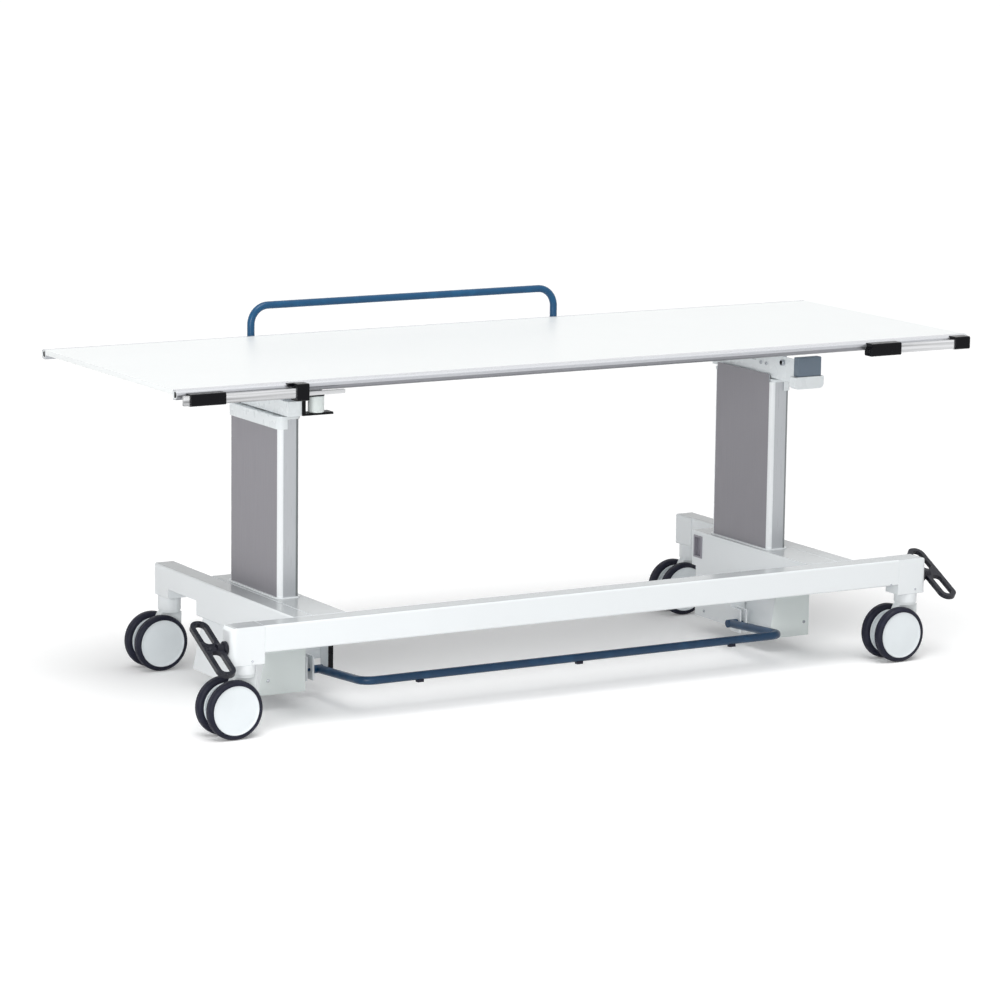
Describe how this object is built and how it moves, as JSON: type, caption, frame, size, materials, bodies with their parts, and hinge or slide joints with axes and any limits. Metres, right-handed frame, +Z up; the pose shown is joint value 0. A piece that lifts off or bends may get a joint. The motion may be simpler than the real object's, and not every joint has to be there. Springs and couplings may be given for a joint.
{
  "type": "angiography table",
  "caption": "Mobile angiography table: a radiolucent top that floats lengthwise and crosswise over two telescopic lift columns on a braked caster base.",
  "frame": {"origin": "on the floor, under the centre of the table's bounding box", "axes": "+X along the table, head end to the right as seen from the user's side; -Y towards the user's side with the pedals; +Z up"},
  "size_m": [2.37, 0.9424, 0.964],
  "materials": {
    "bare_steel": "satin",
    "black_plastic": "matte",
    "blue_paint": "gloss",
    "board_white": "satin",
    "cap_white": "satin",
    "column_taupe": "brushed",
    "powder_white": "satin",
    "rail_chrome": "polished",
    "slate_housing": "satin",
    "stage_aluminium": "satin",
    "tyre_black": "matte",
    "wheel_white": "satin"
  },
  "bodies": {
    "base": {"front_beam": "powder_white", "corner_blocks": "cap_white", "left_foot_beam": "powder_white", "right_foot_beam": "powder_white", "left_column_box": "powder_white", "right_column_box": "powder_white", "box_covers": "powder_white", "caster_posts": "powder_white", "mains_inlet": "black_plastic", "bar_brackets": "powder_white", "bar_switch": "black_plastic", "lift_motors": "bare_steel", "left_column_outer": "column_taupe", "right_column_outer": "column_taupe"},
    "left_stage": {"left_column_middle": "stage_aluminium"},
    "right_stage": {"right_column_middle": "stage_aluminium"},
    "left_screw": {"left_spindle": "bare_steel"},
    "right_screw": {"right_spindle": "bare_steel"},
    "lift": {"left_column_inner": "stage_aluminium", "right_column_inner": "stage_aluminium", "left_lift_head": "powder_white", "right_lift_head": "powder_white", "cross_runners": "bare_steel"},
    "carriage": {"left_cross_member": "powder_white", "right_cross_member": "powder_white", "cross_guides": "stage_aluminium", "tie_tubes": "stage_aluminium", "roller_brackets": "bare_steel", "float_brake": "powder_white", "float_brake_bracket": "black_plastic", "cross_brake_box": "slate_housing", "cross_brake_tray": "powder_white"},
    "roller_near_left": {"roller_near_left": "bare_steel"},
    "roller_near_right": {"roller_near_right": "bare_steel"},
    "roller_far_left": {"roller_far_left": "bare_steel"},
    "roller_far_right": {"roller_far_right": "bare_steel"},
    "tabletop": {"tabletop_board": "board_white", "edge_profiles": "stage_aluminium", "edge_plugs": "black_plastic", "table_guides": "stage_aluminium", "accessory_rails": "rail_chrome", "rail_blocks": "black_plastic", "hand_rail": "blue_paint", "hand_rail_sockets": "black_plastic"},
    "brake_lever": {"brake_shaft": "bare_steel", "brake_pedals": "black_plastic"},
    "foot_bar": {"foot_bar": "blue_paint", "foot_bar_bumpers": "tyre_black"},
    "caster_fl": {"caster_fork_fl": "cap_white"},
    "wheel_fl_near": {"wheel_fl_near": "wheel_white"},
    "wheel_fl_far": {"wheel_fl_far": "wheel_white"},
    "caster_fr": {"caster_fork_fr": "cap_white"},
    "wheel_fr_near": {"wheel_fr_near": "wheel_white"},
    "wheel_fr_far": {"wheel_fr_far": "wheel_white"},
    "caster_rl": {"caster_fork_rl": "cap_white"},
    "wheel_rl_near": {"wheel_rl_near": "wheel_white"},
    "wheel_rl_far": {"wheel_rl_far": "wheel_white"},
    "caster_rr": {"caster_fork_rr": "cap_white"},
    "wheel_rr_near": {"wheel_rr_near": "wheel_white"},
    "wheel_rr_far": {"wheel_rr_far": "wheel_white"}
  },
  "joints": [
    {"name": "lift_height", "type": "slide", "parent": "base", "child": "lift", "axis": [0, 0, 1], "range_m": [0, 0.25]},
    {"name": "left_stage_slide", "type": "slide", "parent": "base", "child": "left_stage", "axis": [0, 0, 1], "range_m": [0, 0.125]},
    {"name": "right_stage_slide", "type": "slide", "parent": "base", "child": "right_stage", "axis": [0, 0, 1], "range_m": [0, 0.125]},
    {"name": "left_screw_turn", "type": "hinge", "parent": "base", "child": "left_screw", "pos_m": [-0.748, 0.0152, 0.3], "axis": [0, 0, 1], "range_deg": [0, 9001]},
    {"name": "right_screw_turn", "type": "hinge", "parent": "base", "child": "right_screw", "pos_m": [0.748, 0.0152, 0.3], "axis": [0, 0, 1], "range_deg": [0, 9001]},
    {"name": "float_cross", "type": "slide", "parent": "lift", "child": "carriage", "axis": [0, 1, 0], "range_m": [-0.08, 0.08]},
    {"name": "float_long", "type": "slide", "parent": "carriage", "child": "tabletop", "axis": [1, 0, 0], "range_m": [-0.3, 0.3]},
    {"name": "roller_near_left_turn", "type": "hinge", "parent": "carriage", "child": "roller_near_left", "pos_m": [-0.748, -0.1398, 0.84395], "axis": [0, 1, 0], "range_deg": [-1079, 1079]},
    {"name": "roller_near_right_turn", "type": "hinge", "parent": "carriage", "child": "roller_near_right", "pos_m": [0.748, -0.1398, 0.84395], "axis": [0, 1, 0], "range_deg": [-1079, 1079]},
    {"name": "roller_far_left_turn", "type": "hinge", "parent": "carriage", "child": "roller_far_left", "pos_m": [-0.748, 0.19021, 0.84395], "axis": [0, 1, 0], "range_deg": [-1079, 1079]},
    {"name": "roller_far_right_turn", "type": "hinge", "parent": "carriage", "child": "roller_far_right", "pos_m": [0.748, 0.19021, 0.84395], "axis": [0, 1, 0], "range_deg": [-1079, 1079]},
    {"name": "brake_lever_tilt", "type": "hinge", "parent": "base", "child": "brake_lever", "pos_m": [0, -0.37479, 0.226], "axis": [1, 0, 0], "range_deg": [-56, 0]},
    {"name": "foot_bar_press", "type": "hinge", "parent": "base", "child": "foot_bar", "pos_m": [0, -0.0748, 0.074], "axis": [1, 0, 0], "range_deg": [0, 6], "stiffness_Nm_per_rad": 60, "springref_deg": -25.78},
    {"name": "caster_fl_swivel", "type": "hinge", "parent": "base", "child": "caster_fl", "pos_m": [-1.003, -0.37479, 0.15], "axis": [0, 0, 1], "continuous": true},
    {"name": "wheel_fl_near_spin", "type": "hinge", "parent": "caster_fl", "child": "wheel_fl_near", "pos_m": [-1.043, -0.4058, 0.075], "axis": [0, 1, 0], "continuous": true},
    {"name": "wheel_fl_far_spin", "type": "hinge", "parent": "caster_fl", "child": "wheel_fl_far", "pos_m": [-1.043, -0.3438, 0.075], "axis": [0, 1, 0], "continuous": true},
    {"name": "caster_fr_swivel", "type": "hinge", "parent": "base", "child": "caster_fr", "pos_m": [1.003, -0.37479, 0.15], "axis": [0, 0, 1], "continuous": true},
    {"name": "wheel_fr_near_spin", "type": "hinge", "parent": "caster_fr", "child": "wheel_fr_near", "pos_m": [0.963, -0.4058, 0.075], "axis": [0, 1, 0], "continuous": true},
    {"name": "wheel_fr_far_spin", "type": "hinge", "parent": "caster_fr", "child": "wheel_fr_far", "pos_m": [0.963, -0.3438, 0.075], "axis": [0, 1, 0], "continuous": true},
    {"name": "caster_rl_swivel", "type": "hinge", "parent": "base", "child": "caster_rl", "pos_m": [-0.822, 0.4252, 0.15], "axis": [0, 0, 1], "continuous": true},
    {"name": "wheel_rl_near_spin", "type": "hinge", "parent": "caster_rl", "child": "wheel_rl_near", "pos_m": [-0.862, 0.39421, 0.075], "axis": [0, 1, 0], "continuous": true},
    {"name": "wheel_rl_far_spin", "type": "hinge", "parent": "caster_rl", "child": "wheel_rl_far", "pos_m": [-0.862, 0.45621, 0.075], "axis": [0, 1, 0], "continuous": true},
    {"name": "caster_rr_swivel", "type": "hinge", "parent": "base", "child": "caster_rr", "pos_m": [0.822, 0.4252, 0.15], "axis": [0, 0, 1], "continuous": true},
    {"name": "wheel_rr_near_spin", "type": "hinge", "parent": "caster_rr", "child": "wheel_rr_near", "pos_m": [0.782, 0.39421, 0.075], "axis": [0, 1, 0], "continuous": true},
    {"name": "wheel_rr_far_spin", "type": "hinge", "parent": "caster_rr", "child": "wheel_rr_far", "pos_m": [0.782, 0.45621, 0.075], "axis": [0, 1, 0], "continuous": true}
  ],
  "couplings": [
    {"joint": "left_stage_slide", "follows": "lift_height", "ratio": 0.5},
    {"joint": "right_stage_slide", "follows": "lift_height", "ratio": 0.5},
    {"joint": "left_screw_turn", "follows": "lift_height", "rad_per_m": 628.32},
    {"joint": "right_screw_turn", "follows": "lift_height", "rad_per_m": 628.32},
    {"joint": "roller_near_left_turn", "follows": "float_long", "rad_per_m": 62.5},
    {"joint": "roller_near_right_turn", "follows": "float_long", "rad_per_m": 62.5},
    {"joint": "roller_far_left_turn", "follows": "float_long", "rad_per_m": 62.5},
    {"joint": "roller_far_right_turn", "follows": "float_long", "rad_per_m": 62.5}
  ]
}
